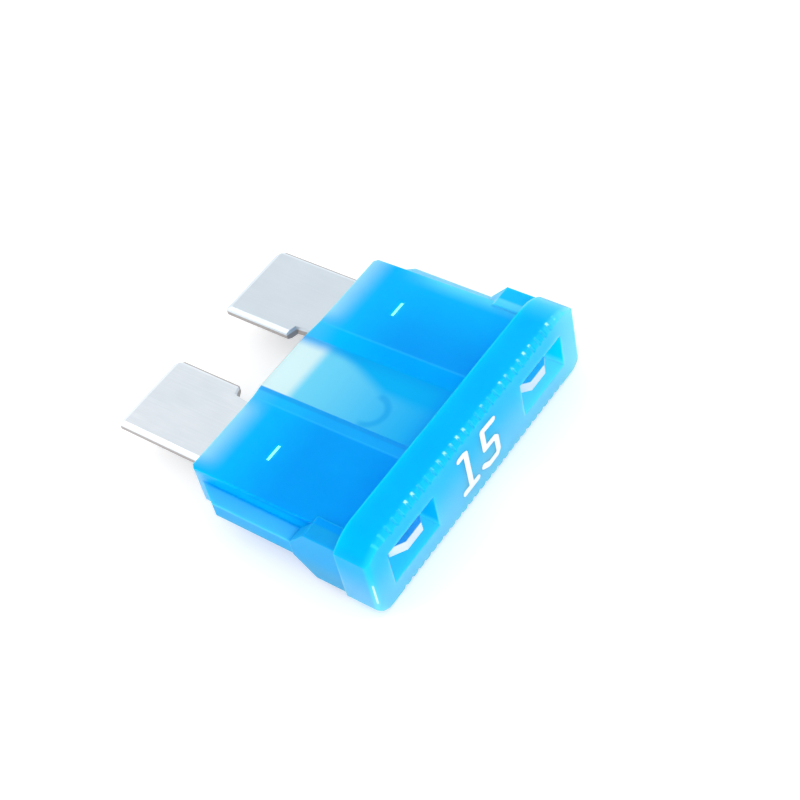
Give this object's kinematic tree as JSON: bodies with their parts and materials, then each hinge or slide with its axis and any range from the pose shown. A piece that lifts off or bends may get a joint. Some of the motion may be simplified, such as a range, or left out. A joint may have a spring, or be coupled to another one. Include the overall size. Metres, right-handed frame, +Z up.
{
  "type": "blade fuse",
  "caption": "Flat blade-type fuse: a hollow translucent blue housing with a toothed grip bar, a thin window and side ribs, around a stamped metal strip that ends in plug-in blades.",
  "frame": {"origin": "centre of the bounding box at its underside, with the fuse lying on its broad side", "axes": "+X along the head bar, +Y from the head bar to the blade tips, +Z up through the broad face"},
  "size_m": [0.019, 0.0188, 0.0051],
  "materials": {
    "housing_plastic": "translucent blue, moulded",
    "plated_strip": "satin, plated, faint rolling grain"
  },
  "bodies": {
    "root": {"housing": "housing_plastic", "fuse_element": "plated_strip"}
  },
  "joints": []
}
